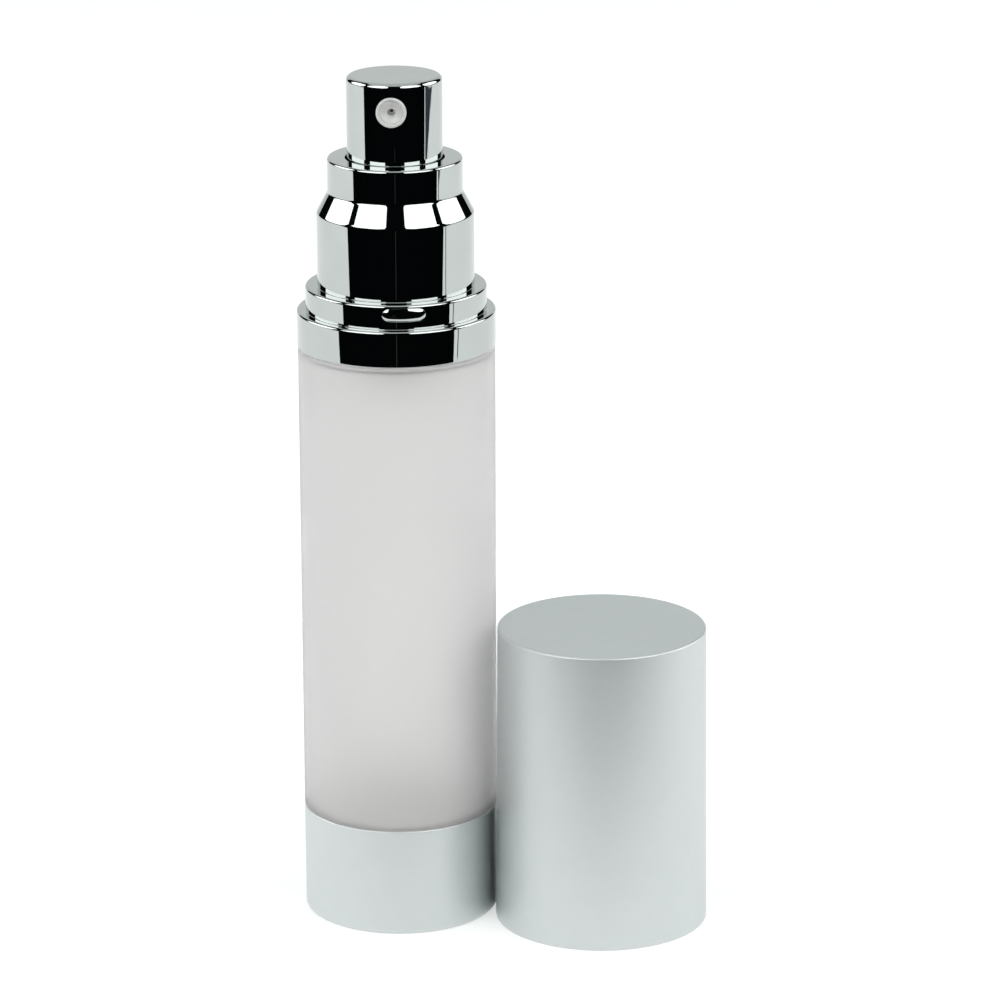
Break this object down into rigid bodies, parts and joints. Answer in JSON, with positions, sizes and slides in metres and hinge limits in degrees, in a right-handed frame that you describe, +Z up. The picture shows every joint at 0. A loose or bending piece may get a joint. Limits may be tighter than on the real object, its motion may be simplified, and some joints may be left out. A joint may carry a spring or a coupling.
{
  "type": "airless pump bottle",
  "caption": "Slim round airless pump bottle with a frosted tube, a bright stepped pump head with a round push button, a satin metal base and a pull-off metal cap standing beside it.",
  "frame": {"origin": "on the bottle's axis, on the flat underside of the base that the bottle stands on", "axes": "+Z up along the bottle, the nozzle faces -Y, and the cap stands beside the bottle on the side of +X"},
  "size_m": [0.0692, 0.0392, 0.1453],
  "materials": {
    "frosted_tube": "frosted translucent, moulded",
    "satin_aluminium": "satin anodised, drawn sheet",
    "chrome_plated_abs": "bright plated, mirror",
    "natural_pp": "moulded, milky",
    "nozzle_pp": "moulded, off-white",
    "elastomer": "moulded, soft",
    "spring_steel": "drawn wire",
    "ball_steel": "polished"
  },
  "bodies": {
    "bottle": {"bottle_tube": "frosted_tube", "base_shell": "satin_aluminium", "base_plug": "natural_pp"},
    "follower": {"follower_piston": "natural_pp"},
    "pump_engine": {"pump_housing": "natural_pp", "neck_gasket": "elastomer", "pump_retainer": "natural_pp", "ball_cage": "natural_pp", "return_spring": "spring_steel"},
    "collar": {"collar_shell": "chrome_plated_abs", "screw_closure": "natural_pp"},
    "plunger": {"lower_stem": "natural_pp", "upper_stem": "natural_pp", "pump_piston": "elastomer"},
    "actuator": {"actuator_core": "natural_pp", "actuator_shell": "chrome_plated_abs", "nozzle_insert": "nozzle_pp"},
    "inlet_valve": {"inlet_ball": "ball_steel"},
    "outlet_valve": {"outlet_ball": "ball_steel"},
    "cap": {"cap_shell": "satin_aluminium", "cap_liner": "natural_pp"}
  },
  "joints": [
    {"name": "follower_rise", "type": "slide", "parent": "bottle", "child": "follower", "axis": [0, 0, 1], "range_m": [0, 0.0775]},
    {"name": "pump_lift", "type": "slide", "parent": "bottle", "child": "pump_engine", "axis": [0, 0, 1], "range_m": [0, 0.003]},
    {"name": "collar_turn", "type": "hinge", "parent": "pump_engine", "child": "collar", "pos_m": [0, 0, 0.1], "axis": [0, 0, 1], "range_deg": [0, 450]},
    {"name": "plunger_press", "type": "slide", "parent": "pump_engine", "child": "plunger", "axis": [0, 0, -1], "range_m": [0, 0.0055], "stiffness_N_per_m": 1500, "springref_m": -0.004, "deforming": ["return_spring"]},
    {"name": "actuator_swivel", "type": "hinge", "parent": "plunger", "child": "actuator", "pos_m": [0, 0, 0.13], "axis": [0, 0, 1], "continuous": true},
    {"name": "inlet_ball_lift", "type": "slide", "parent": "pump_engine", "child": "inlet_valve", "axis": [0, 0, 1], "range_m": [0, 0.0005]},
    {"name": "outlet_ball_lift", "type": "slide", "parent": "plunger", "child": "outlet_valve", "axis": [0, 0, 1], "range_m": [0, 0.0005]},
    {"name": "cap_lift", "type": "slide", "parent": "bottle", "child": "cap", "axis": [0, 0, 1], "range_m": [0, 0.15]}
  ],
  "couplings": [
    {"joint": "pump_lift", "follows": "collar_turn", "m_per_rad": 0.00038197}
  ]
}
